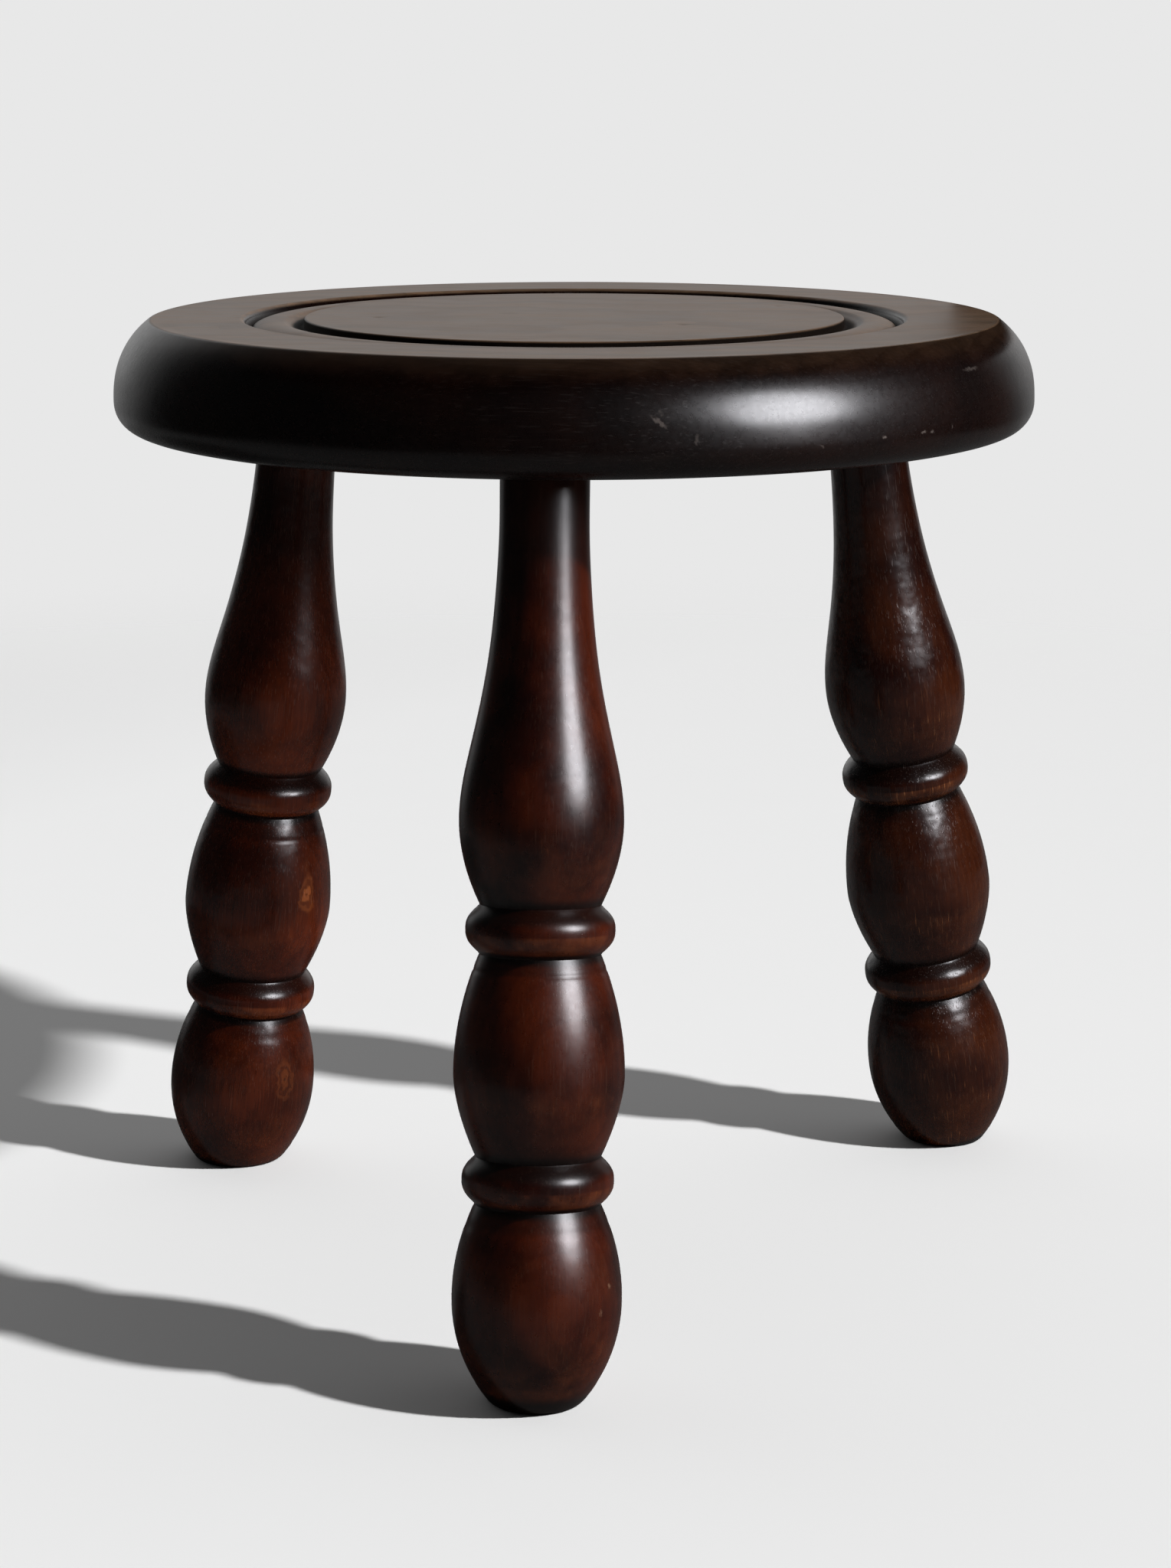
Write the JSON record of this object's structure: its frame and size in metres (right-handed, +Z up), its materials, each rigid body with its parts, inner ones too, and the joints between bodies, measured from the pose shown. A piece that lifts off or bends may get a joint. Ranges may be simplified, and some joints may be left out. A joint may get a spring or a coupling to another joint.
{
  "type": "tripod stool",
  "caption": "Low round stool of stained beech: a turned seat board with a sunk bead ring, wedged onto splayed baluster legs with bulb feet. For sitting on or for holding a plant.",
  "frame": {"origin": "on the floor, under the middle of the stool's bounding box", "axes": "+Z up, out of the seat's top face; -Y towards the front leg; +X to the viewer's right when the front leg faces the viewer"},
  "size_m": [0.3046, 0.3292, 0.312],
  "materials": {
    "stained_beech": "dark brown stain under worn satin lacquer",
    "bare_beech": "bare sawn wood, hidden in the joint"
  },
  "bodies": {
    "root": {"seat": "stained_beech", "leg_front": "stained_beech", "leg_right": "stained_beech", "leg_left": "stained_beech", "wedge_front": "bare_beech", "wedge_right": "bare_beech", "wedge_left": "bare_beech"}
  },
  "joints": []
}
